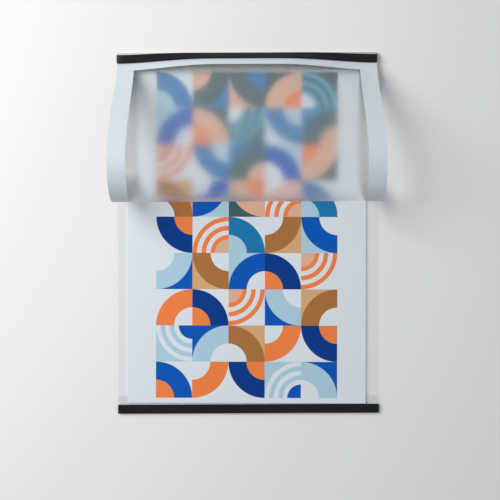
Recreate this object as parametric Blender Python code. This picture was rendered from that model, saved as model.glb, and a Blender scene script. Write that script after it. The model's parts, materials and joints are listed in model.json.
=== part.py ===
"""Self-adhesive display frame for one A4 sheet, on a wall.

A clear back sheet is stuck to the wall by two adhesive bands and carries a magnetic strip along its top
edge and another along its bottom edge. The front flap is one flexible film, frosted in the window and
opaque in the border, welded on along the top edge. A third magnetic strip lies along its free edge, on
the reverse. The flap is modelled rolled up towards the viewer in a hanging loop, with its free edge held
in front of the top strip, so that the lower part of the sheet of paper is bare.

Metres, +Z up. The wall is the plane Y = 0, the frame faces -Y and X runs to the viewer's right. The origin
is the middle of the upper adhesive band, on the wall. Depth is measured from the wall towards the viewer.
The film is stiff here between the hinge lines that it unrolls about, and each stretch is a piece.
"""

import math

import bmesh
import bpy
import numpy as np
from mathutils import Vector

for leftover in list(bpy.data.objects):
    bpy.data.objects.remove(leftover, do_unlink=True)

# The paper, a little askew as it was put in, and the room that it has at each side and between the strips
PAPER_WIDTH = 0.210
PAPER_HEIGHT = 0.297
PAPER_THICKNESS = 0.0002
PAPER_SHIFT = -0.0007
PAPER_LEAN = math.radians(0.4)
SIDE_ROOM = 0.010
END_ROOM = 0.0054

# The frame as it hangs
STRIP_HEIGHT = 0.0078
STRIP_THICKNESS = 0.001
STRIP_EDGE_RADIUS = 0.0002
BACK_THICKNESS = 0.0003
ADHESIVE_HEIGHT = 0.015
ADHESIVE_THICKNESS = 0.0002
WELD_HEIGHT = 0.0009
FRAME_WIDTH = PAPER_WIDTH + 2 * SIDE_ROOM
FRAME_HEIGHT = PAPER_HEIGHT + END_ROOM + 2 * STRIP_HEIGHT

# The flap
FILM_THICKNESS = 0.00035
FLAP_INSET = 0.0007
BORDER_WIDTH = 0.0152

# The hanging loop: an elastic curve, tightest in front of its foot
TIGHTEST_RADIUS = 0.0299
TIGHTEST_TURN = math.radians(104)
SLACK_SHARE = 0.3
EDGE_DROP = 0.0008
CORNER_DIP = 0.0062
STRETCHES = 10
LIFT_LIMIT = math.radians(85)

# Room left between pieces, and how finely curves are cut
CLEARANCE = 0.0003
STEPS_PER_STRETCH = 24
FACETS_PER_STRETCH = 6
FRONT_FACETS = 20
FRONT_COLUMNS = 24
EDGE_FACETS = 6
LEAST_TILT = math.radians(12)
MOST_TILT = math.radians(75)
HALVINGS = 60

# Heights of the edges, and depths of the layers from the wall
TOP = ADHESIVE_HEIGHT / 2
BOTTOM = TOP - FRAME_HEIGHT
BACK_REAR = ADHESIVE_THICKNESS + CLEARANCE
BACK_FRONT = BACK_REAR + BACK_THICKNESS
STRIP_REAR = BACK_FRONT + CLEARANCE
STRIP_FRONT = STRIP_REAR + STRIP_THICKNESS
PAPER_REAR = BACK_FRONT + CLEARANCE
HINGE_DEPTH = STRIP_FRONT + CLEARANCE + FILM_THICKNESS / 2
FLAP_WIDTH = FRAME_WIDTH - 2 * FLAP_INSET
STRIP_OFFSET = FILM_THICKNESS / 2 + CLEARANCE
CLOSED_DEPTH = STRIP_FRONT + CLEARANCE + STRIP_THICKNESS + STRIP_OFFSET
# The highest share of the curve q * q * q * (1 - q), which the corners of the flap follow
CREST_SHARE = 27 / 256


def bend_radius(turn):
    """The film's radius where it has turned this far from straight down, by the law of a bent elastic strip."""
    pull = (1 + np.cos(turn - TIGHTEST_TURN)) / 2
    return TIGHTEST_RADIUS / np.sqrt(SLACK_SHARE + (1 - SLACK_SHARE) * pull)


def trace_loop(tilt):
    """The loop's turn, run of film, depth and height, from its start down to the front run's lower end."""
    turn = np.linspace(0, math.pi + tilt, STRETCHES * STEPS_PER_STRETCH + 1)
    middle = (turn[1:] + turn[:-1]) / 2
    step = bend_radius(middle) * np.diff(turn)
    run = np.concatenate([[0], np.cumsum(step)])
    depth = np.concatenate([[0], np.cumsum(step * np.sin(middle))])
    height = np.concatenate([[0], np.cumsum(-step * np.cos(middle))])
    return turn, run, depth, height


def loop_fit(tilt):
    """The rear run, the front run and the film left over, if the front run leans back by this tilt."""
    turn, run, depth, height = trace_loop(tilt)
    rest_depth = HINGE_DEPTH + FILM_THICKNESS / 2 + CLEARANCE + FILM_THICKNESS / 2 * math.cos(tilt)
    front_run = (HINGE_DEPTH + depth[-1] - rest_depth) / math.sin(tilt)
    rear_run = height[-1] + front_run * math.cos(tilt) + EDGE_DROP
    ends = slice(None, None, STEPS_PER_STRETCH)
    chords = np.hypot(np.diff(depth[ends]), np.diff(height[ends]))
    return rear_run, front_run, rear_run + front_run + chords.sum() - FRAME_HEIGHT


def front_tilt():
    """The tilt at which the whole film is used up: flat, it reaches from the top edge to the bottom edge."""
    low, high = LEAST_TILT, MOST_TILT
    for _ in range(HALVINGS):
        tilt = (low + high) / 2
        if loop_fit(tilt)[2] > 0:
            low = tilt
        else:
            high = tilt
    return tilt


TILT = front_tilt()
REAR_RUN, FRONT_RUN, _ = loop_fit(TILT)
LOOP_TURN, LOOP_RUN, LOOP_DEPTH, LOOP_HEIGHT = trace_loop(TILT)
LOOP_DEPTH = LOOP_DEPTH + HINGE_DEPTH
LOOP_HEIGHT = LOOP_HEIGHT + TOP - REAR_RUN
LOOP_END = REAR_RUN + LOOP_RUN[-1]
FILM_RUN = LOOP_END + FRONT_RUN


def world(x, depth, height):
    """A point of the frame from its place across, its depth and its height."""
    return Vector((x, -depth, height))


def rear_place(run, side):
    """Depth, height and turn of the film in its flat rear run."""
    return HINGE_DEPTH, TOP - run, 0.0


def loop_place(run, side):
    """Depth, height and turn of the film in the loop."""
    along = run - REAR_RUN
    return tuple(np.interp(along, LOOP_RUN, row) for row in (LOOP_DEPTH, LOOP_HEIGHT, LOOP_TURN))


def front_place(run, side):
    """Depth, height and turn of the film in its front run, whose upper corners are drawn to the wall.

    side is 0 in the middle and 1 at an edge. The dip is zero with no slope at the lower end, and zero at the
    free edge. The film doesn't stretch, so the free edge is drawn down where the film takes the longer way.
    """
    share = (run - LOOP_END) / FRONT_RUN
    deepest = CORNER_DIP * side * side / CREST_SHARE
    dip = deepest * share**3 * (1 - share)
    slope = deepest / FRONT_RUN * (3 * share**2 - 4 * share**3)
    drawn_in = FRONT_RUN / 2 * (deepest / FRONT_RUN) ** 2 * (9 / 5 * share**5 - 4 * share**6 + 16 / 7 * share**7)
    along = share * FRONT_RUN - drawn_in
    depth = LOOP_DEPTH[-1] - along * math.sin(TILT) - dip * math.cos(TILT)
    height = LOOP_HEIGHT[-1] + along * math.cos(TILT) - dip * math.sin(TILT)
    return depth, height, math.pi + TILT + math.atan(slope)


def film_point(place, x, run, offset):
    """A point on the film, or off it by offset: towards its front side if positive, its reverse if negative."""
    depth, height, turn = place(run, abs(x) / (FLAP_WIDTH / 2))
    return world(x, depth + offset * math.cos(turn), height + offset * math.sin(turn))


def material(name, colour, roughness, metallic=0.0, alpha=1.0):
    made = bpy.data.materials.new(name)
    made.use_nodes = True
    shader = made.node_tree.nodes["Principled BSDF"]
    shader.inputs["Base Color"].default_value = (*colour, 1.0)
    shader.inputs["Roughness"].default_value = roughness
    shader.inputs["Metallic"].default_value = metallic
    shader.inputs["Alpha"].default_value = alpha
    made.diffuse_color = (*colour, alpha)
    return made


def add_object(name, mesh, finish, parent=None):
    """Puts a mesh whose points are world places into the scene, turning with its parent."""
    piece = bpy.data.objects.new(name, mesh)
    bpy.context.collection.objects.link(piece)
    mesh.materials.append(finish)
    if parent is not None:
        piece.parent = parent
        mesh.transform(parent.matrix_world.inverted())
    return piece


def pivot(name, place, parent, axis, travel):
    """An empty on a joint's axis. The pieces that move on it are its children."""
    empty = bpy.data.objects.new(name, None)
    bpy.context.collection.objects.link(empty)
    empty.empty_display_size = BORDER_WIDTH
    if parent is not None:
        empty.parent = parent
        empty.location = place - parent.matrix_world.translation
    else:
        empty.location = place
    empty["axis"] = axis
    empty["travel"] = travel
    bpy.context.view_layer.update()
    return empty


def block(name, x_span, depth_span, height_span, finish, edge_radius=0.0):
    """A rectangular piece between the given places, with its long edges rounded if edge_radius is given."""
    body = bmesh.new()
    bmesh.ops.create_cube(body, size=1)
    low = world(x_span[0], depth_span[1], height_span[0])
    high = world(x_span[1], depth_span[0], height_span[1])
    bmesh.ops.scale(body, vec=high - low, verts=body.verts)
    bmesh.ops.translate(body, vec=(high + low) / 2, verts=body.verts)
    if edge_radius:
        long_edges = [edge for edge in body.edges if abs(edge.verts[0].co.x - edge.verts[1].co.x) > edge_radius]
        bmesh.ops.bevel(body, geom=long_edges, offset=edge_radius, segments=2, profile=0.5, affect="EDGES")
    mesh = bpy.data.meshes.new(name)
    body.to_mesh(mesh)
    body.free()
    return add_object(name, mesh, finish)


def film_piece(name, place, x_span, run_span, offset_span, finish, parent, columns, rows):
    """A piece of film or strip: a grid over the given part of the flap, closed between two offsets."""
    body = bmesh.new()
    across = np.linspace(*x_span, columns + 1)
    along = np.linspace(*run_span, rows + 1)
    faces = []
    for offset in offset_span:
        grid = [[body.verts.new(film_point(place, x, run, offset)) for x in across] for run in along]
        faces.append(grid)
    near, far = faces
    for row in range(rows):
        for column in range(columns):
            for grid in faces:
                corners = (
                    grid[row][column],
                    grid[row][column + 1],
                    grid[row + 1][column + 1],
                    grid[row + 1][column],
                )
                body.faces.new(corners)
    rim_near = near[0] + [row[-1] for row in near[1:]] + near[-1][-2::-1] + [row[0] for row in near[-2:0:-1]]
    rim_far = far[0] + [row[-1] for row in far[1:]] + far[-1][-2::-1] + [row[0] for row in far[-2:0:-1]]
    for index in range(len(rim_near)):
        body.faces.new((rim_near[index - 1], rim_near[index], rim_far[index], rim_far[index - 1]))
    bmesh.ops.recalc_face_normals(body, faces=body.faces)
    mesh = bpy.data.meshes.new(name)
    body.to_mesh(mesh)
    body.free()
    mesh.shade_smooth()
    mesh.set_sharp_from_angle(angle=math.radians(30))
    return add_object(name, mesh, finish, parent)


def build_back():
    """What stays on the wall: adhesive bands, clear back sheet, two magnetic strips and the weld along the top."""
    clear = material("clear_film", (0.86, 0.89, 0.91), 0.12, alpha=0.3)
    adhesive = material("clear_adhesive", (0.80, 0.83, 0.84), 0.35, alpha=0.4)
    magnet = material("magnetic_strip", (0.035, 0.036, 0.040), 0.55)
    weld = material("weld", (0.70, 0.72, 0.74), 0.4)
    across = (-FRAME_WIDTH / 2, FRAME_WIDTH / 2)
    under_weld = TOP - WELD_HEIGHT - CLEARANCE
    glue_depths = (0, ADHESIVE_THICKNESS)
    block("adhesive_band_top", across, glue_depths, (TOP - ADHESIVE_HEIGHT, TOP), adhesive)
    block("adhesive_band_bottom", across, glue_depths, (BOTTOM, BOTTOM + ADHESIVE_HEIGHT), adhesive)
    block("back_sheet", across, (BACK_REAR, BACK_FRONT), (BOTTOM, under_weld), clear)
    strip_depths = (STRIP_REAR, STRIP_FRONT)
    top_strip = (TOP - STRIP_HEIGHT, under_weld)
    bottom_strip = (BOTTOM, BOTTOM + STRIP_HEIGHT)
    block("magnetic_strip_top", across, strip_depths, top_strip, magnet, STRIP_EDGE_RADIUS)
    block("magnetic_strip_bottom", across, strip_depths, bottom_strip, magnet, STRIP_EDGE_RADIUS)
    block("hinge_weld", across, (BACK_REAR, STRIP_FRONT), (TOP - WELD_HEIGHT, TOP), weld)


def build_paper():
    """The sheet on show. Its lower right corner stands on the bottom strip and it pulls out sideways."""
    paper = material("paper", (0.86, 0.88, 0.90), 0.6)
    half_width, half_height = PAPER_WIDTH / 2, PAPER_HEIGHT / 2
    stand = half_height * math.cos(PAPER_LEAN) + half_width * math.sin(PAPER_LEAN)
    middle = world(PAPER_SHIFT, PAPER_REAR, BOTTOM + STRIP_HEIGHT + CLEARANCE + stand)
    slide = pivot("paper_slide", middle, None, (1, 0, 0), (0, FRAME_WIDTH))
    sheet = block(
        "paper_sheet", (-half_width, half_width), (0, PAPER_THICKNESS), (-half_height, half_height), paper
    )
    sheet.parent = slide
    sheet.rotation_euler.y = PAPER_LEAN


def hinge_lines():
    """Depth and height of each line that the film unrolls about, from the loop's start to the front run."""
    ends = slice(None, None, STEPS_PER_STRETCH)
    return list(zip(LOOP_DEPTH[ends], LOOP_HEIGHT[ends], REAR_RUN + LOOP_RUN[ends]))


def unrolling(lines):
    """How far each hinge line turns until the flap lies closed, its strip just in front of the bottom strip."""
    foot = (HINGE_DEPTH, TOP)
    edge = (lines[-1][0] - FRONT_RUN * math.sin(TILT), lines[-1][1] + FRONT_RUN * math.cos(TILT))
    stops = [foot] + [line[:2] for line in lines] + [edge]
    legs = [(after[0] - before[0], before[1] - after[1]) for before, after in zip(stops, stops[1:])]
    lengths = [math.hypot(*leg) for leg in legs]
    headings = np.unwrap([math.atan2(*leg) for leg in legs])
    turns = np.diff(headings)
    lean_left = (CLOSED_DEPTH - HINGE_DEPTH) / sum(np.array(lengths) * (headings - headings[0]))
    return turns * (1 - lean_left)


def build_flap():
    """The flap: its flat rear run, the loop in even turns, and the front run with the magnetic strip."""
    frosted = material("frosted_film", (0.80, 0.84, 0.87), 0.45, alpha=0.5)
    border = material("border", (0.80, 0.83, 0.86), 0.45)
    magnet = bpy.data.materials["magnetic_strip"]
    half = FLAP_WIDTH / 2
    inner = half - BORDER_WIDTH
    film = (-FILM_THICKNESS / 2, FILM_THICKNESS / 2)
    trim = CLEARANCE / 2
    lanes = {
        "flap_border_left": ((-half, -inner - trim), border),
        "flap_window": ((-inner + trim, inner - trim), frosted),
        "flap_border_right": ((inner + trim, half), border),
    }

    lines = hinge_lines()
    turns = unrolling(lines)
    hinge = pivot("flap_hinge", world(0, HINGE_DEPTH, TOP), None, (-1, 0, 0), (0, LIFT_LIMIT))
    film_piece(
        "flap_border_top", rear_place, (-half, half), (trim, BORDER_WIDTH), film, border, hinge, 1, 1
    )
    for name, (x_span, finish) in lanes.items():
        run_span = (BORDER_WIDTH + CLEARANCE, REAR_RUN - trim)
        film_piece(f"{name}_rear", rear_place, x_span, run_span, film, finish, hinge, 1, 1)

    carrier = hinge
    for number, (line, turn) in enumerate(zip(lines, turns), start=1):
        carrier = pivot(f"curl_{number}", world(0, line[0], line[1]), carrier, (1, 0, 0), (0, turn))
        if number > STRETCHES:
            break
        run_span = (line[2] + trim, lines[number][2] - trim)
        for name, (x_span, finish) in lanes.items():
            film_piece(
                f"{name}_bend_{number}", loop_place, x_span, run_span, film, finish, carrier, 1, FACETS_PER_STRETCH
            )

    border_start = FILM_RUN - BORDER_WIDTH
    side_columns = max(1, round(FRONT_COLUMNS * BORDER_WIDTH / FLAP_WIDTH))
    columns = {name: side_columns for name in lanes}
    columns["flap_window"] = FRONT_COLUMNS
    for name, (x_span, finish) in lanes.items():
        run_span = (LOOP_END + trim, border_start - CLEARANCE)
        film_piece(
            f"{name}_front", front_place, x_span, run_span, film, finish, carrier, columns[name], FRONT_FACETS
        )
    whole = (-half, half)
    strip_offsets = (-STRIP_OFFSET - STRIP_THICKNESS, -STRIP_OFFSET)
    along_edge = {
        "flap_border_bottom": (border_start, film, border),
        "magnetic_strip_flap": (FILM_RUN - STRIP_HEIGHT, strip_offsets, magnet),
    }
    for name, (start, offsets, finish) in along_edge.items():
        run_span = (start, FILM_RUN)
        film_piece(name, front_place, whole, run_span, offsets, finish, carrier, FRONT_COLUMNS, EDGE_FACETS)


build_back()
build_paper()
build_flap()
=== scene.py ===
import json
import math

import bpy
from mathutils import Matrix, Vector


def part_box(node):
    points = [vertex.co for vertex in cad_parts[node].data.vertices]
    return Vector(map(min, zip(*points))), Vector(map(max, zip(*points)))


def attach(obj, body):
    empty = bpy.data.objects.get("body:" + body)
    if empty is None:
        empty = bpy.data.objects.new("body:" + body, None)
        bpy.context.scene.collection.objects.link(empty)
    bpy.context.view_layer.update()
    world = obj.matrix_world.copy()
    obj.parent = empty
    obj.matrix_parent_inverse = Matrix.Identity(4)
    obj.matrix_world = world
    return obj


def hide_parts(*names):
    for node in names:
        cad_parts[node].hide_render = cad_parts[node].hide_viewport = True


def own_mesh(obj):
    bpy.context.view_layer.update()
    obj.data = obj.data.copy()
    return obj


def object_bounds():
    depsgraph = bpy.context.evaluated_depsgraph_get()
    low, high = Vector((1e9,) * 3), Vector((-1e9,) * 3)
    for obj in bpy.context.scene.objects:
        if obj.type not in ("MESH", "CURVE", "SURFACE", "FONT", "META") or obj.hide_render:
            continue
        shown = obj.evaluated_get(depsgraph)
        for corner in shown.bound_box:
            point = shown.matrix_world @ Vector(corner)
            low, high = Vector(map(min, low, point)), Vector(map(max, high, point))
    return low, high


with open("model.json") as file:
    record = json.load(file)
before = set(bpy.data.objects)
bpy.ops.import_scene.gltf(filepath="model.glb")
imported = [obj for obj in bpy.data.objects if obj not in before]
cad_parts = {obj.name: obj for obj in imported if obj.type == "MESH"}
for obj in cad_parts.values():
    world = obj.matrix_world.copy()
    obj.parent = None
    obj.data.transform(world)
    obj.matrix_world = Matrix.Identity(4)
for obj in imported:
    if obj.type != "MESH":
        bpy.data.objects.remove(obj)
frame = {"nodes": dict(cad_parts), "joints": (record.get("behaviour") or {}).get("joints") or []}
cad_low, cad_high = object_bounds()

# The wall
# A smooth painted wall that the frame is stuck to, and that takes its shadow. It can't be seen from behind
# and casts no shadow itself, so the frame's back shows, and a lamp behind the wall lights it.
WALL_SPAN = 3.4
WALL_GAP = 0.0002
WALL_COLOUR = (0.80, 0.80, 0.79)
WALL_ROUGHNESS = 0.9


def shader_of(finish):
    """The shader that a material starts with."""
    return finish.node_tree.nodes["Principled BSDF"]


def new_finish(name, colour, roughness):
    """A material with its colour and roughness on its shader."""
    finish = bpy.data.materials.new(name)
    finish.use_nodes = True
    shader = shader_of(finish)
    shader.inputs["Base Color"].default_value = (*colour, 1.0)
    shader.inputs["Roughness"].default_value = roughness
    return finish


def mix_shaders(tree, share, first, second, output="Material Output"):
    """Shows the first shader where the share is 0 and the second where it is 1."""
    mix = tree.nodes.new("ShaderNodeMixShader")
    for socket, source in zip(mix.inputs, (share, first, second)):
        tree.links.new(source, socket)
    tree.links.new(mix.outputs[0], tree.nodes[output].inputs["Surface"])


wall_corners = [(-1, -1), (1, -1), (1, 1), (-1, 1)]
wall_points = [(x * WALL_SPAN / 2, WALL_GAP, z * WALL_SPAN / 2) for x, z in wall_corners]
wall_mesh = bpy.data.meshes.new("wall")
wall_mesh.from_pydata(wall_points, [], [(0, 1, 2, 3)])
wall = bpy.data.objects.new("wall", wall_mesh)
bpy.context.collection.objects.link(wall)
wall.visible_shadow = False
wall_paint = new_finish("wall_paint", WALL_COLOUR, WALL_ROUGHNESS)
wall_tree = wall_paint.node_tree
wall_side = wall_tree.nodes.new("ShaderNodeNewGeometry")
wall_gone = wall_tree.nodes.new("ShaderNodeBsdfTransparent")
mix_shaders(
    wall_tree, share=wall_side.outputs["Backfacing"],
    first=shader_of(wall_paint).outputs[0], second=wall_gone.outputs[0],
)
wall_mesh.materials.append(wall_paint)

# Adhesive bands and clear back sheet
# The sheet is stiff clear plastic, bonded to the wall by a band of clear adhesive along its top edge and
# another along its bottom edge. The bands look a little cloudier than the sheet.
MOTTLE_DETAIL = 5.0
MOTTLE_BAND = (0.3, 0.7)


def feed(tree, node, inputs):
    """Sets a node's inputs to plain values, or links them to other nodes' outputs."""
    for name, value in dict(inputs).items():
        if isinstance(value, bpy.types.NodeSocket):
            tree.links.new(value, node.inputs[name])
        else:
            node.inputs[name].default_value = value


def new_node(tree, kind, inputs=()):
    """A node with its inputs fed."""
    node = tree.nodes.new(kind)
    feed(tree, node, inputs)
    return node


def math_node(tree, operation, *values):
    """A sum in a node tree, of numbers and of other nodes' outputs."""
    node = tree.nodes.new("ShaderNodeMath")
    node.operation = operation
    feed(tree, node, enumerate(values))
    return node.outputs[0]


def new_mottled(name, cycles, colours, roughness, bump, stretch=(1, 1, 1)):
    """A finish with fine unevenness in colour, gloss and surface, so many cycles to the metre."""
    finish = new_finish(name, colours[0], roughness[0])
    tree = finish.node_tree
    place = tree.nodes.new("ShaderNodeTexCoord")
    mapping = new_node(tree, "ShaderNodeMapping", {"Vector": place.outputs["Object"], "Scale": stretch})
    noise = new_node(
        tree, "ShaderNodeTexNoise",
        {"Vector": mapping.outputs[0], "Scale": cycles, "Detail": MOTTLE_DETAIL},
    )
    unevenness = noise.outputs["Fac"]
    tint = new_node(tree, "ShaderNodeValToRGB", {"Fac": unevenness})
    for element, position, colour in zip(tint.color_ramp.elements, MOTTLE_BAND, colours):
        element.position = position
        element.color = (*colour, 1.0)
    gloss = new_node(
        tree, "ShaderNodeMapRange", {"Value": unevenness, "To Min": roughness[0], "To Max": roughness[1]}
    )
    relief = new_node(tree, "ShaderNodeBump", {"Height": unevenness, "Distance": bump})
    feed(tree, shader_of(finish), {
        "Base Color": tint.outputs[0], "Roughness": gloss.outputs[0], "Normal": relief.outputs[0],
    })
    return finish


def make_clear(finish, transmission, ior, shade):
    """Lets light pass a clear or frosted film to what lies under it, once and at its true strength."""
    tree = finish.node_tree
    shader = shader_of(finish)
    feed(tree, shader, {"Transmission Weight": transmission, "IOR": ior})
    rays = tree.nodes.new("ShaderNodeLightPath")
    lighting = math_node(tree, "MAXIMUM", rays.outputs["Is Shadow Ray"], rays.outputs["Is Diffuse Ray"])
    clear = new_node(tree, "ShaderNodeBsdfTransparent", {"Color": (shade, shade, shade, 1.0)})
    mix_shaders(tree, lighting, shader.outputs[0], clear.outputs[0])


def refinish(node, finish):
    """Gives a node of the frame its finish."""
    mesh = frame["nodes"][node].data
    mesh.materials.clear()
    mesh.materials.append(finish)


adhesive = new_mottled(
    "clear_adhesive", cycles=260.0, colours=((0.80, 0.82, 0.82), (0.88, 0.90, 0.90)),
    roughness=(0.35, 0.5), bump=0.00002,
)
make_clear(adhesive, transmission=0.8, ior=1.4, shade=0.9)
for band in ("adhesive_band_top", "adhesive_band_bottom"):
    refinish(band, adhesive)

clear_sheet = new_mottled(
    "clear_sheet", cycles=90.0, colours=((0.94, 0.97, 0.975), (0.96, 0.985, 0.99)),
    roughness=(0.04, 0.10), bump=0.00001,
)
make_clear(clear_sheet, transmission=1.0, ior=1.49, shade=0.94)
refinish("back_sheet", clear_sheet)

# Magnetic strips on the back sheet, and the weld
# The strips are black flexible magnet, rolled out in a long band, which leaves fine lines along it. The
# flap is welded on above the upper strip, in a bead of melted film.
ROLLED_LINES = (0.04, 1, 1)
MAGNET_SHEEN = 0.14

magnet = new_mottled(
    "magnetic_rubber", cycles=900.0, colours=((0.003, 0.003, 0.0032), (0.007, 0.007, 0.0074)),
    roughness=(0.30, 0.42), bump=0.00003, stretch=ROLLED_LINES,
)
shader_of(magnet).inputs["Specular IOR Level"].default_value = MAGNET_SHEEN
for strip in ("magnetic_strip_top", "magnetic_strip_bottom"):
    refinish(strip, magnet)

weld = new_mottled(
    "melted_weld", cycles=500.0, colours=((0.58, 0.60, 0.62), (0.72, 0.74, 0.76)),
    roughness=(0.25, 0.5), bump=0.00008,
)
refinish("hinge_weld", weld)

# The sheet on show
# An A4 sheet of paper, slid in from the side and a little askew. It lies against the back sheet and lifts a
# little towards its lower right corner. It is printed on its front alone.
PAPER_SIZE = (0.210, 0.297)
PAPER_THICKNESS = 0.00016
PAPER_LEAN = math.radians(0.4)
PAPER_LIFT = 0.0006
PAPER_COLUMNS, PAPER_ROWS = 30, 42
PAPER_WHITE = (0.735, 0.785, 0.835)
PAPER_GRAIN = 2500.0
PAPER_BUMP = 0.00002
PAPER_SHEEN = 0.06
PRINTED_ROUGHNESS = 0.7
PRINTED_FACE, BARE_FACE = 0, 1
FACING_OUT = -0.5
SHARP_ANGLE = math.radians(40)

paper_low, paper_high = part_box("paper_sheet")
paper_centre = (paper_low + paper_high) / 2
paper_depth = -paper_high.y


def paper_place(across, up, away):
    """A point of the sheet from its place across and up the print and away from the wall."""
    turned = Vector((
        across * math.cos(PAPER_LEAN) + up * math.sin(PAPER_LEAN),
        0,
        up * math.cos(PAPER_LEAN) - across * math.sin(PAPER_LEAN),
    ))
    return Vector((paper_centre.x, -away, paper_centre.z)) + turned


def paper_rise(across, up):
    """How far the sheet stands off where it lies at the back, most at its lower right corner."""
    right = max(0.0, across / PAPER_SIZE[0] + 0.5)
    low = max(0.0, 0.5 - up / PAPER_SIZE[1])
    return PAPER_LIFT * right**4 * low**2


paper_points = []
for layer in (0.0, PAPER_THICKNESS):
    for row in range(PAPER_ROWS + 1):
        up = (row / PAPER_ROWS - 0.5) * PAPER_SIZE[1]
        for column in range(PAPER_COLUMNS + 1):
            across = (column / PAPER_COLUMNS - 0.5) * PAPER_SIZE[0]
            paper_points.append(paper_place(across, up, paper_depth + paper_rise(across, up) + layer))

points_across = PAPER_COLUMNS + 1
points_a_layer = points_across * (PAPER_ROWS + 1)
paper_faces = []
for row in range(PAPER_ROWS):
    for column in range(PAPER_COLUMNS):
        first = row * points_across + column
        quad = (first, first + 1, first + points_across + 1, first + points_across)
        paper_faces.append(quad[::-1])
        paper_faces.append(tuple(index + points_a_layer for index in quad))
rim = list(range(points_across))
rim += [row * points_across + PAPER_COLUMNS for row in range(1, PAPER_ROWS + 1)]
rim += [PAPER_ROWS * points_across + column for column in range(PAPER_COLUMNS - 1, -1, -1)]
rim += [row * points_across for row in range(PAPER_ROWS - 1, 0, -1)]
for here, after in zip(rim, rim[1:] + rim[:1]):
    paper_faces.append((here, after, after + points_a_layer, here + points_a_layer))

paper_mesh = bpy.data.meshes.new("printed_sheet")
paper_mesh.from_pydata(paper_points, [], paper_faces)
for face in paper_mesh.polygons:
    face.material_index = PRINTED_FACE if face.normal.y < FACING_OUT else BARE_FACE
paper_mesh.shade_smooth()
paper_mesh.set_sharp_from_angle(angle=SHARP_ANGLE)
paper = bpy.data.objects.new("printed_sheet", paper_mesh)
bpy.context.collection.objects.link(paper)

# The print is a plain tile pattern in flat inks: quarter discs and arcs on square tiles, each turned its
# own way, with inks that change up the sheet and from column to column. Its sizes are in millimetres.
MILLIMETRES = 1000.0
TILE = 32.0
TILES_ACROSS, TILES_UP = 5, 9
INK_EDGE = 0.18
INNER_SHARE, CORE_SHARE = 0.5, 0.375
ARCS = 8
QUARTERS_A_COLUMN, QUARTERS_A_ROW, ROWS_A_QUARTER = 3.0, 2.0, 2.0
CYCLE, COLUMN_SHIFT, ARC_TILE = 5.0, 2.0, 1.0
GRAIN_DETAIL = 4.0
GRAIN_SHARE = 0.10

BLUE, DEEP_BLUE, PALE_BLUE = (0.003, 0.10, 0.48), (0.003, 0.045, 0.25), (0.42, 0.62, 0.74)
TEAL, LAKE, AQUA = (0.05, 0.12, 0.135), (0.015, 0.19, 0.45), (0.10, 0.42, 0.60)
ORANGE, PEACH = (0.90, 0.23, 0.065), (0.76, 0.44, 0.31)
SAND, OCHRE = (0.68, 0.40, 0.20), (0.42, 0.17, 0.05)
TILE_INKS = (
    (PAPER_WHITE, BLUE, ORANGE), (PALE_BLUE, PAPER_WHITE, BLUE), (PAPER_WHITE, ORANGE, PAPER_WHITE),
    (BLUE, PALE_BLUE, PAPER_WHITE), (PAPER_WHITE, DEEP_BLUE, ORANGE), (SAND, OCHRE, PAPER_WHITE),
    (PAPER_WHITE, ORANGE, PEACH), (PALE_BLUE, BLUE, PAPER_WHITE), (PAPER_WHITE, LAKE, PALE_BLUE),
    (TEAL, PEACH, ORANGE), (LAKE, TEAL, PEACH), (TEAL, AQUA, PAPER_WHITE), (PEACH, TEAL, LAKE),
)

printed_paper = new_finish("printed_paper", PAPER_WHITE, PRINTED_ROUGHNESS)
print_shader = shader_of(printed_paper)
print_shader.inputs["Specular IOR Level"].default_value = PAPER_SHEEN
print_tree = printed_paper.node_tree
print_place = print_tree.nodes.new("ShaderNodeTexCoord")
print_turn = print_tree.nodes.new("ShaderNodeMapping")
print_turn.vector_type = "TEXTURE"
feed(print_tree, print_turn, {
    "Vector": print_place.outputs["Object"],
    "Location": (paper_centre.x, 0, paper_centre.z),
    "Rotation": (0, PAPER_LEAN, 0),
    "Scale": (1 / MILLIMETRES,) * 3,
})
print_axes = new_node(print_tree, "ShaderNodeSeparateXYZ", {"Vector": print_turn.outputs[0]})
print_across, print_up = print_axes.outputs["X"], print_axes.outputs["Z"]


def on_print(operation, *values):
    """A sum in the print's node tree."""
    return math_node(print_tree, operation, *values)


def inside(value, limit, edge):
    """1 where a value is under its limit and 0 where it is over, with a soft edge."""
    past = on_print("SUBTRACT", value, limit)
    soft = on_print("MULTIPLY_ADD", past, -0.5 / edge, 0.5)
    return new_node(print_tree, "ShaderNodeClamp", {"Value": soft}).outputs[0]


# A Mix node's sockets go by number here, because each of their names stands for more than one of them.
MIX_SHARE, MIX_UNDER, MIX_OVER, MIX_RESULT = 0, 6, 7, 2


def lay_ink(under, ink, cover, way="MIX"):
    """Prints an ink over what is under it."""
    mix = print_tree.nodes.new("ShaderNodeMix")
    mix.data_type = "RGBA"
    mix.blend_type = way
    feed(print_tree, mix, {MIX_SHARE: cover, MIX_UNDER: under, MIX_OVER: ink})
    return mix.outputs[MIX_RESULT]


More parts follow.
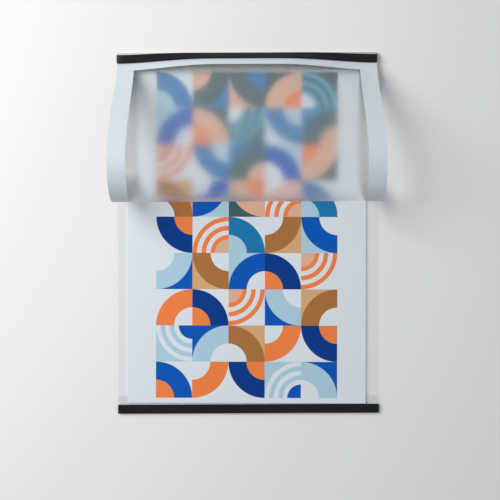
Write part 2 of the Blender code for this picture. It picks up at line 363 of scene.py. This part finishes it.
# Each place on the print belongs to a tile, in a column and a row, and has a place on that tile from its
# middle, which is then turned by so many quarters.
tiles_along = on_print("MULTIPLY_ADD", print_across, 1 / TILE, TILES_ACROSS / 2)
tiles_up = on_print("MULTIPLY_ADD", print_up, 1 / TILE, TILES_UP / 2)
tile_column, tile_row = on_print("FLOOR", tiles_along), on_print("FLOOR", tiles_up)
tile_x = on_print("SUBTRACT", on_print("FRACT", tiles_along), 0.5)
tile_z = on_print("SUBTRACT", on_print("FRACT", tiles_up), 0.5)
column_quarters = on_print("MULTIPLY", tile_column, QUARTERS_A_COLUMN)
row_quarters = on_print("MULTIPLY", tile_row, QUARTERS_A_ROW)
more_quarters = on_print("FLOOR", on_print("DIVIDE", tile_row, ROWS_A_QUARTER))
quarters = on_print("ADD", on_print("ADD", column_quarters, row_quarters), more_quarters)
tile_turn = on_print("MULTIPLY", quarters, math.pi / 2)
cosine, sine = on_print("COSINE", tile_turn), on_print("SINE", tile_turn)
turned_x = on_print("ADD", on_print("MULTIPLY", tile_x, cosine), on_print("MULTIPLY", tile_z, sine))
turned_z = on_print("SUBTRACT", on_print("MULTIPLY", tile_z, cosine), on_print("MULTIPLY", tile_x, sine))
squares = [on_print("POWER", on_print("ADD", turned, 0.5), 2.0) for turned in (turned_x, turned_z)]
radius = on_print("SQRT", on_print("ADD", *squares))

# From the tile's corner come a quarter disc of the outer ink and, over it, a smaller one of the inner ink.
# On one tile in five of a column the outer one is cut into arcs, and the inner one is smaller still.
tile_edge = INK_EDGE / TILE
arc_count = on_print("MODULO", on_print("MULTIPLY_ADD", tile_column, COLUMN_SHIFT, tile_row), CYCLE)
has_arcs = on_print("COMPARE", arc_count, ARC_TILE, 0.5)
wave = on_print("PINGPONG", on_print("MULTIPLY_ADD", radius, float(ARCS), 0.5), 1.0)
whole_disc = on_print("SUBTRACT", 1.0, has_arcs)
disc_or_arcs = on_print("MAXIMUM", whole_disc, inside(wave, 0.5, tile_edge * ARCS))
outer_cover = on_print("MULTIPLY", inside(radius, 1.0, tile_edge), disc_or_arcs)
inner_limit = on_print("MULTIPLY_ADD", has_arcs, CORE_SHARE - INNER_SHARE, INNER_SHARE)
inner_cover = inside(radius, inner_limit, tile_edge)

# The three inks of a tile, its ground, outer and inner ones, come from one family of the table.
column_number = on_print("MODULO", on_print("MULTIPLY", tile_column, COLUMN_SHIFT), CYCLE)
family_number = on_print("ADD", tile_row, column_number)
family_share = on_print("DIVIDE", on_print("ADD", family_number, 0.5), float(len(TILE_INKS)))
inks = []
for layer_inks in zip(*TILE_INKS):
    ramp = new_node(print_tree, "ShaderNodeValToRGB", {"Fac": family_share})
    ramp.color_ramp.interpolation = "CONSTANT"
    stops = ramp.color_ramp.elements
    stops.remove(stops[1])
    for number, ink in enumerate(layer_inks):
        stop = stops.new(number / len(TILE_INKS)) if number else stops[0]
        stop.color = (*ink, 1.0)
    inks.append(ramp.outputs[0])
ground, outer_ink, inner_ink = inks
tiles = lay_ink(lay_ink(ground, outer_ink, outer_cover), inner_ink, inner_cover)
print_sides = [
    inside(on_print("ABSOLUTE", place), count * TILE / 2, INK_EDGE)
    for place, count in ((print_across, TILES_ACROSS), (print_up, TILES_UP))
]
printed = lay_ink((*PAPER_WHITE, 1.0), tiles, on_print("MULTIPLY", *print_sides))

print_grain = new_node(
    print_tree, "ShaderNodeTexNoise",
    {"Vector": print_place.outputs["Object"], "Scale": PAPER_GRAIN, "Detail": GRAIN_DETAIL},
)
grained = lay_ink(printed, print_grain.outputs["Color"], GRAIN_SHARE, "MULTIPLY")
print_relief = new_node(
    print_tree, "ShaderNodeBump", {"Height": print_grain.outputs["Fac"], "Distance": PAPER_BUMP}
)
feed(print_tree, print_shader, {"Base Color": grained, "Normal": print_relief.outputs[0]})

bare_paper = new_mottled(
    "bare_paper", cycles=PAPER_GRAIN, colours=((0.72, 0.77, 0.82), (0.75, 0.80, 0.85)),
    roughness=(0.7, 0.9), bump=PAPER_BUMP,
)
shader_of(bare_paper).inputs["Specular IOR Level"].default_value = PAPER_SHEEN
paper_mesh.materials.append(printed_paper)
paper_mesh.materials.append(bare_paper)
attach(paper, "paper")
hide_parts("paper_sheet")

# The flap
# One flexible film, frosted in the window and printed in the border, silver on the side that faces out when
# it is closed and pale on the reverse. It is rolled up in a loop, so the reverse of its lower half shows.
FILM_THICKNESS = 0.00035
FLAP_INSET = 0.0007
BORDER_WIDTH = 0.0152
EDGE_DROP = 0.0008
CORNER_DIP = 0.0062
MIDDLE_BOW = 0.0023
FLAT_MIDDLE_SHARE = 0.25
SEAM = 0.00001
REAR_END_SHARE = 0.99999
WINDOW_COLUMNS, BORDER_COLUMNS = 44, 4
TOP_ROWS, STRETCH_ROWS, FRONT_ROWS, EDGE_ROWS = 4, 16, 48, 8
STRETCH_KEEP, FRONT_KEEP = 0.1, 0.2
MERGE_DISTANCE = 0.000001
ROUNDED_ANGLE = math.radians(60)
ROUNDING_STEPS = 2
SILVER_METALLIC = 0.9

back_low, back_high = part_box("back_sheet")
half_flap = (back_high.x - back_low.x) / 2 - FLAP_INSET
_, weld_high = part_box("hinge_weld")
top_edge = weld_high.z

# A place on the film's path is its depth, away from the wall, and its height. A heading is 0 where the path
# runs straight down the wall, and grows as it turns out from the wall and up again.
places = {joint["name"]: joint["pos_m"] for joint in frame["joints"] if joint["type"] == "hinge"}
curl_count = sum(name.startswith("curl_") for name in places)
curl_names = [f"curl_{number}" for number in range(1, curl_count + 1)]
hinges = [(-places[name][1], places[name][2]) for name in curl_names]
chords = [(end[0] - start[0], start[1] - end[1]) for start, end in zip(hinges, hinges[1:])]
headings = [math.atan2(*chord) % math.tau for chord in chords]
even_turn = (headings[-1] - headings[0]) / (len(chords) - 1)
front_turn = even_turn * len(chords)
front_lean = front_turn - math.pi
front_run = (top_edge - EDGE_DROP - hinges[-1][1]) / math.cos(front_lean)
rear_run = top_edge - hinges[0][1]


def make_film_tree():
    """A stretch of film between two lines across the flap, bent evenly from one to the other.

    Depth is away from the wall. The part from one share of the stretch to another is made. The front
    run's sides dip towards the wall and its middle bows out, and the film keeps its own length.
    """
    tree = bpy.data.node_groups.new("film_stretch", "GeometryNodeTree")
    sockets = {
        "NodeSocketFloat": (
            "Left", "Right", "Start Depth", "Start Height", "Start Turn",
            "End Depth", "End Height", "End Turn", "From Share", "To Share",
            "Run", "Crest", "Bow", "Half Width", "Offset", "Thickness",
        ),
        "NodeSocketInt": ("Columns", "Rows"),
        "NodeSocketMaterial": ("Front", "Reverse"),
    }
    for kind, names in sockets.items():
        for name in names:
            tree.interface.new_socket(name=name, in_out="INPUT", socket_type=kind)
    tree.interface.new_socket(name="Film", in_out="OUTPUT", socket_type="NodeSocketGeometry")
    given = tree.nodes.new("NodeGroupInput").outputs

    def step(kind, inputs):
        """The first output of a new node."""
        return new_node(tree, kind, inputs).outputs[0]

    def sum_of(operation, *values):
        """A sum in the film's node tree."""
        return math_node(tree, operation, *values)

    def weighted(pairs):
        """Each value times its weight, added up."""
        total = 0.0
        for weight, value in pairs:
            total = sum_of("ADD", total, sum_of("MULTIPLY", weight, value))
        return total

    # A flat grid, whose points give their shares across and along the piece that is made.
    grid = step("GeometryNodeMeshGrid", {
        "Size X": 1.0, "Size Y": 1.0,
        "Vertices X": sum_of("ADD", given["Columns"], 1), "Vertices Y": sum_of("ADD", given["Rows"], 1),
    })
    position = tree.nodes.new("GeometryNodeInputPosition").outputs[0]
    spot = new_node(tree, "ShaderNodeSeparateXYZ", {"Vector": position})
    across_share = sum_of("ADD", spot.outputs["X"], 0.5)
    along_share = sum_of("ADD", spot.outputs["Y"], 0.5)
    width = sum_of("SUBTRACT", given["Right"], given["Left"])
    x = sum_of("ADD", given["Left"], sum_of("MULTIPLY", width, across_share))
    reach = sum_of("SUBTRACT", given["To Share"], given["From Share"])
    film_share = sum_of("ADD", given["From Share"], sum_of("MULTIPLY", reach, along_share))

    # The dip goes by share^3 - share^4, with share as how far along the film a point is. Its strength is
    # the Crest at the flap's sides, and the Bow, which goes the other way, in the middle.
    side = tree.nodes.new("ShaderNodeMapRange")
    side.interpolation_type = "SMOOTHSTEP"
    side_share = sum_of("DIVIDE", sum_of("ABSOLUTE", x), given["Half Width"])
    feed(tree, side, {"Value": side_share, "From Min": FLAT_MIDDLE_SHARE})
    whole_dip = sum_of("ADD", given["Crest"], given["Bow"])
    deepest = sum_of("SUBTRACT", sum_of("MULTIPLY", whole_dip, side.outputs[0]), given["Bow"])
    powers = {number: sum_of("POWER", film_share, float(number)) for number in (3, 4, 5, 6, 7)}
    dip = sum_of("MULTIPLY", deepest, sum_of("SUBTRACT", powers[3], powers[4]))

    # A film that dips reaches less far along its run, by half the sum of its slope squared. The slope goes
    # by 3 share^2 - 4 share^3, and the sum of its square by 9/5 share^5 - 4 share^6 + 16/7 share^7.
    steepness = sum_of("POWER", sum_of("DIVIDE", deepest, given["Run"]), 2.0)
    slopes_squared = weighted([(9 / 5, powers[5]), (-4.0, powers[6]), (16 / 7, powers[7])])
    half_run = sum_of("DIVIDE", given["Run"], 2.0)
    drawn_in = sum_of("MULTIPLY", sum_of("MULTIPLY", half_run, steepness), slopes_squared)
    along = sum_of("SUBTRACT", film_share, sum_of("DIVIDE", drawn_in, given["Run"]))

    # A cubic runs from the start of the stretch to its end, and leaves and arrives at their headings.
    two, three = sum_of("POWER", along, 2.0), sum_of("POWER", along, 3.0)
    start_weight = weighted([(2.0, three), (-3.0, two), (1.0, 1.0)])
    end_weight = weighted([(-2.0, three), (3.0, two)])
    leave_weight = weighted([(1.0, three), (-2.0, two), (1.0, along)])
    arrive_weight = weighted([(1.0, three), (-1.0, two)])
    coordinates = []
    for axis, way, sign in (("Depth", "SINE", 1), ("Height", "COSINE", -1)):
        leave = sum_of("MULTIPLY", sum_of(way, given["Start Turn"]), given["Run"])
        arrive = sum_of("MULTIPLY", sum_of(way, given["End Turn"]), given["Run"])
        ends = weighted([(given[f"Start {axis}"], start_weight), (given[f"End {axis}"], end_weight)])
        slopes = weighted([(leave, leave_weight), (arrive, arrive_weight)])
        coordinates.append(sum_of("ADD", ends, sum_of("MULTIPLY", slopes, sign)))
    depth = sum_of("ADD", coordinates[0], sum_of("MULTIPLY", dip, sum_of("COSINE", given["End Turn"])))
    height = sum_of("ADD", coordinates[1], sum_of("MULTIPLY", dip, sum_of("SINE", given["End Turn"])))
    place = step("ShaderNodeCombineXYZ", {"X": x, "Y": sum_of("MULTIPLY", depth, -1.0), "Z": height})
    bent = step("GeometryNodeSetPosition", {"Geometry": grid, "Position": place})

    # The sheet of points is moved to the film's front face and thickened towards its reverse.
    normal = tree.nodes.new("GeometryNodeInputNormal").outputs[0]
    shift = tree.nodes.new("ShaderNodeVectorMath")
    shift.operation = "SCALE"
    half_thickness = sum_of("DIVIDE", given["Thickness"], 2.0)
    feed(tree, shift, {"Vector": normal, "Scale": sum_of("SUBTRACT", given["Offset"], half_thickness)})
    face = step("GeometryNodeSetPosition", {"Geometry": bent, "Offset": shift.outputs[0]})
    thick = step("GeometryNodeExtrudeMesh", {
        "Mesh": face, "Offset Scale": given["Thickness"], "Individual": False,
    })
    turned = step("GeometryNodeFlipFaces", {"Mesh": face})
    sides = [
        step("GeometryNodeSetMaterial", {"Geometry": mesh, "Material": given[finish]})
        for mesh, finish in ((turned, "Front"), (thick, "Reverse"))
    ]
    joined = tree.nodes.new("GeometryNodeJoinGeometry")
    for mesh in sides:
        tree.links.new(mesh, joined.inputs[0])
    closed = step("GeometryNodeMergeByDistance", {
        "Geometry": joined.outputs[0], "Distance": MERGE_DISTANCE,
    })
    whole = step("GeometryNodeRealizeInstances", {"Geometry": closed})
    new_node(tree, "NodeGroupOutput", {"Film": whole})
    return tree


film_tree = make_film_tree()
film_sockets = {
    item.name: item.identifier for item in film_tree.interface.items_tree if item.in_out == "INPUT"
}


def make_film(
    name, stretch, x_span, shares, grid, finishes, offset=0.0, thickness=FILM_THICKNESS, edge_radius=0.0
):
    """A piece of the flap, made by the tree and turned into a plain mesh."""
    holder = bpy.data.objects.new(name + "_maker", bpy.data.meshes.new(name + "_maker"))
    bpy.context.collection.objects.link(holder)
    modifier = holder.modifiers.new("film", "NODES")
    modifier.node_group = film_tree
    (start_depth, start_height, start_turn), (end_depth, end_height, end_turn), run, crest, bow = stretch
    values = {
        "Left": x_span[0], "Right": x_span[1],
        "Start Depth": start_depth, "Start Height": start_height, "Start Turn": start_turn,
        "End Depth": end_depth, "End Height": end_height, "End Turn": end_turn,
        "From Share": shares[0], "To Share": shares[1], "Run": run, "Crest": crest, "Bow": bow,
        "Half Width": half_flap, "Offset": offset, "Thickness": thickness,
        "Columns": grid[0], "Rows": grid[1], "Front": finishes[0], "Reverse": finishes[1],
    }
    for socket, value in values.items():
        modifier[film_sockets[socket]] = value
    if edge_radius:
        rounding = holder.modifiers.new("rounding", "BEVEL")
        rounding.width = edge_radius
        rounding.segments = ROUNDING_STEPS
        rounding.limit_method = "ANGLE"
        rounding.angle_limit = ROUNDED_ANGLE
    graph = bpy.context.evaluated_depsgraph_get()
    mesh = bpy.data.meshes.new_from_object(holder.evaluated_get(graph), depsgraph=graph)
    bpy.data.objects.remove(holder, do_unlink=True)
    mesh.name = name
    mesh.shade_smooth()
    mesh.set_sharp_from_angle(angle=SHARP_ANGLE)
    piece = bpy.data.objects.new(name, mesh)
    bpy.context.collection.objects.link(piece)
    return piece


frosted = new_mottled(
    "frosted_film", cycles=1500.0, colours=((0.955, 0.97, 0.978), (0.98, 0.988, 0.992)),
    roughness=(0.345, 0.385), bump=0.00001,
)
make_clear(frosted, transmission=0.985, ior=1.22, shade=0.98)

pale = new_mottled(
    "border_reverse", cycles=700.0, colours=((0.57, 0.63, 0.67), (0.60, 0.66, 0.70)),
    roughness=(0.42, 0.54), bump=0.00001,
)
silver = new_mottled(
    "border_silver", cycles=900.0, colours=((0.32, 0.333, 0.341), (0.37, 0.383, 0.391)),
    roughness=(0.35, 0.45), bump=0.00001,
)
shader_of(silver).inputs["Metallic"].default_value = SILVER_METALLIC

inner = half_flap - BORDER_WIDTH
whole_width = (-half_flap, half_flap)
lanes = {
    "border_left": ((-half_flap, -inner - SEAM), BORDER_COLUMNS, (silver, pale), "border"),
    "window": ((-inner + SEAM, inner - SEAM), WINDOW_COLUMNS, (frosted, frosted), "frosted_film"),
    "border_right": ((inner + SEAM, half_flap), BORDER_COLUMNS, (silver, pale), "border"),
}


def settle(piece, body, node, squash=None):
    """Fixes a piece of the flap to its body, in place of the frame's solid."""
    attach(piece, body)
    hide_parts(node)
    if squash:
        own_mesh(piece)


# Each stretch is its start and its end, with their headings, and then its length, its dip and its bow.
rear_depth = hinges[0][0]
rear = ((rear_depth, top_edge, 0.0), (rear_depth, hinges[0][1], 0.0), rear_run, 0.0, 0.0)
top_share = BORDER_WIDTH / rear_run
top_piece = make_film(
    "border_top", rear, whole_width, (0, top_share), (WINDOW_COLUMNS, TOP_ROWS), (silver, pale)
)
settle(top_piece, "flap_rear", "flap_border_top")
for lane, (x_span, columns, finishes, slot) in lanes.items():
    shares = (top_share, REAR_END_SHARE)
    piece = make_film(f"{lane}_rear", rear, x_span, shares, (columns, STRETCH_ROWS), finishes)
    settle(piece, "flap_rear", f"flap_{lane}_rear")

for number, (start, end) in enumerate(zip(hinges, hinges[1:]), start=1):
    start_turn, end_turn = (number - 1) * even_turn, number * even_turn
    arc = math.dist(start, end) * (even_turn / 2) / math.sin(even_turn / 2)
    stretch = ((*start, start_turn), (*end, end_turn), arc, 0.0, 0.0)
    squash = (f"curl_{number}", start, headings[number - 1], STRETCH_KEEP)
    for lane, (x_span, columns, finishes, slot) in lanes.items():
        name = f"{lane}_bend_{number}"
        piece = make_film(name, stretch, x_span, (0, 1), (columns, STRETCH_ROWS), finishes)
        settle(piece, f"bend_{number}", f"flap_{name}", squash)

last_hinge = hinges[-1]
free_edge = (
    last_hinge[0] - front_run * math.sin(front_lean),
    last_hinge[1] + front_run * math.cos(front_lean),
)

# The dip is deepest three quarters of the way along the run, where its formula gives this.
crest_of_dip = (3 / 4)**3 - (3 / 4)**4
dips = (CORNER_DIP / crest_of_dip, MIDDLE_BOW / crest_of_dip)
front = ((*last_hinge, front_turn), (*free_edge, front_turn), front_run, *dips)
front_squash = (curl_names[-1], last_hinge, front_turn, FRONT_KEEP)
front_share = 1 - BORDER_WIDTH / front_run
for lane, (x_span, columns, finishes, slot) in lanes.items():
    piece = make_film(f"{lane}_front", front, x_span, (0, front_share), (columns, FRONT_ROWS), finishes)
    settle(piece, "flap_front", f"flap_{lane}_front", front_squash)
bottom_piece = make_film(
    "border_bottom", front, whole_width, (front_share, 1), (WINDOW_COLUMNS, EDGE_ROWS), (silver, pale)
)
settle(bottom_piece, "flap_front", "flap_border_bottom", front_squash)

# The flap's own magnetic strip
# The same black magnet as on the back sheet, glued along the free edge on the reverse. It faces the viewer
# while the flap is rolled up, and its two ends are drawn down flat to the upper strip.
STRIP_HEIGHT = 0.0078
STRIP_THICKNESS = 0.001
STRIP_EDGE = 0.0002
GLUE = 0.0003

strip_offset = FILM_THICKNESS / 2 + GLUE + STRIP_THICKNESS / 2
strip_shares = (1 - STRIP_HEIGHT / front_run, 1)
flap_strip = make_film(
    "flap_magnet", front, whole_width, strip_shares, (WINDOW_COLUMNS, EDGE_ROWS), (magnet, magnet),
    strip_offset, STRIP_THICKNESS, STRIP_EDGE
)
settle(flap_strip, "flap_front", "magnetic_strip_flap", front_squash)

# Light and camera
# Soft daylight from a window at the left, a little above the frame's middle, a weak fill from the right, a
# lamp behind the wall for the frame's back, and an even sky. The camera stands square to the wall, turned a
# quarter of a degree. VIEW_WIDTH is how much of the wall it takes in.
CAMERA_AWAY = 0.8
CAMERA_SIDE = 0.002
CAMERA_BELOW_TOP = 0.174
CAMERA_ROLL = math.radians(-0.25)
SENSOR_WIDTH = 36.0
VIEW_WIDTH = 0.4423
SKY_STRENGTH = 0.37
SKY_COLOUR = (0.87, 0.935, 1.0)


def add_lamp(name, place, size, power, colour):
    """A square lamp that faces the middle of the frame."""
    light = bpy.data.lights.new(name, "AREA")
    light.shape = "SQUARE"
    light.size = size
    light.energy = power
    light.color = colour
    middle = (cad_low + cad_high) / 2
    lamp = bpy.data.objects.new(name, light)
    lamp.location = place
    lamp.rotation_euler = (middle - Vector(place)).to_track_quat("-Z", "Y").to_euler()
    bpy.context.collection.objects.link(lamp)


add_lamp("window_light", place=(-0.86, -0.84, 0.22), size=0.9, power=16.2, colour=(1.0, 0.985, 0.955))
add_lamp("fill_light", place=(1.3, -1.7, -0.2), size=1.6, power=0.5, colour=(0.87, 0.94, 1.0))
add_lamp("back_light", place=(1.1, 1.6, 0.6), size=1.2, power=42.0, colour=(1.0, 1.0, 1.0))

# The sky only lights. What the camera, a gloss or a clear film shows of it is plain white.
world = bpy.data.worlds.new("studio")
world.use_nodes = True
bpy.context.scene.world = world
world_tree = world.node_tree
sky = world_tree.nodes["Background"]
feed(world_tree, sky, {"Color": (*SKY_COLOUR, 1.0), "Strength": SKY_STRENGTH})
plain = new_node(world_tree, "ShaderNodeBackground", {"Color": (1.0, 1.0, 1.0, 1.0), "Strength": 1.0})
rays = world_tree.nodes.new("ShaderNodeLightPath").outputs
seen = math_node(world_tree, "MAXIMUM", rays["Is Camera Ray"], rays["Is Glossy Ray"])
seen = math_node(world_tree, "MAXIMUM", seen, rays["Is Transmission Ray"])
mix_shaders(world_tree, seen, sky.outputs[0], plain.outputs[0], "World Output")

lens = bpy.data.cameras.new("camera")
lens.sensor_width = SENSOR_WIDTH
lens.lens = SENSOR_WIDTH * CAMERA_AWAY / VIEW_WIDTH
camera = bpy.data.objects.new("camera", lens)
camera.matrix_world = (
    Matrix.Translation((CAMERA_SIDE, -CAMERA_AWAY, top_edge - CAMERA_BELOW_TOP))
    @ Matrix.Rotation(math.radians(90), 4, "X")
    @ Matrix.Rotation(CAMERA_ROLL, 4, "Z")
)
bpy.context.collection.objects.link(camera)
bpy.context.scene.camera = camera
bpy.context.scene.view_settings.view_transform = "Standard"
